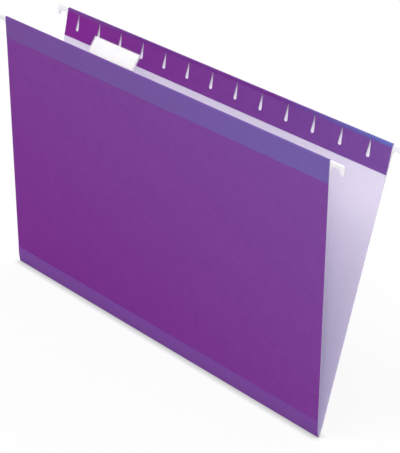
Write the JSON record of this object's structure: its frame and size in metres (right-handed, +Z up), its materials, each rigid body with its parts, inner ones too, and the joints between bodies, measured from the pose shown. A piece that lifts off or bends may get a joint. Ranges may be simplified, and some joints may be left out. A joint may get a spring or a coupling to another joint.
{
  "type": "hanging file folder",
  "caption": "Open V-shaped hanging file folder of folded card, with slotted top hems over hooked steel rods, film-reinforced edges and a clear label tab.",
  "frame": {"origin": "middle of the bottom crease, at its lowest line", "axes": "+X along the folder to the right as seen from the front, +Y from the front leaf to the back leaf, +Z up"},
  "size_m": [0.4026, 0.0704, 0.2475],
  "materials": {
    "card": "dyed card, violet outside and pale lavender inside",
    "film": "thin satin reinforcing film, tinted violet blue",
    "glue": "dried hot-melt glue",
    "steel": "flat rolled strip",
    "hook_coat": "white dipped coating",
    "clear_plastic": "clear flexible sheet",
    "label_card": "blank white card"
  },
  "bodies": {
    "bottom": {"crease": "card", "crease_film": "film"},
    "front_leaf": {"front_panel": "card", "front_top_fold": "card", "front_hem": "card", "front_glue_line": "glue", "front_top_film": "film", "front_bottom_film": "film", "front_rod": "steel", "front_left_tip": "hook_coat", "front_right_tip": "hook_coat", "tab_base": "clear_plastic", "tab_bend": "clear_plastic"},
    "back_leaf": {"back_panel": "card", "back_top_fold": "card", "back_hem": "card", "back_glue_line": "glue", "back_top_film": "film", "back_bottom_film": "film", "back_rod": "steel", "back_left_tip": "hook_coat", "back_right_tip": "hook_coat"},
    "tab": {"tab_window": "clear_plastic"},
    "label": {"label_insert": "label_card"}
  },
  "joints": [
    {"name": "front_fold", "type": "hinge", "parent": "bottom", "child": "front_leaf", "pos_m": [0, 0, 0.0008], "axis": [1, 0, 0], "range_deg": [-7.6, 76.5], "deforming": ["crease", "crease_film"]},
    {"name": "back_fold", "type": "hinge", "parent": "bottom", "child": "back_leaf", "pos_m": [0, 0, 0.0008], "axis": [-1, 0, 0], "range_deg": [-7.6, 76.5], "deforming": ["crease", "crease_film"]},
    {"name": "tab_tilt", "type": "hinge", "parent": "front_leaf", "child": "tab", "pos_m": [0, -0.03237, 0.23427], "axis": [-1, 0, 0], "range_deg": [-25, 20], "stiffness_Nm_per_rad": 0.005, "deforming": ["tab_bend"]},
    {"name": "label_slide", "type": "slide", "parent": "tab", "child": "label", "axis": [1, 0, 0], "range_m": [-0.058, 0.058]}
  ]
}
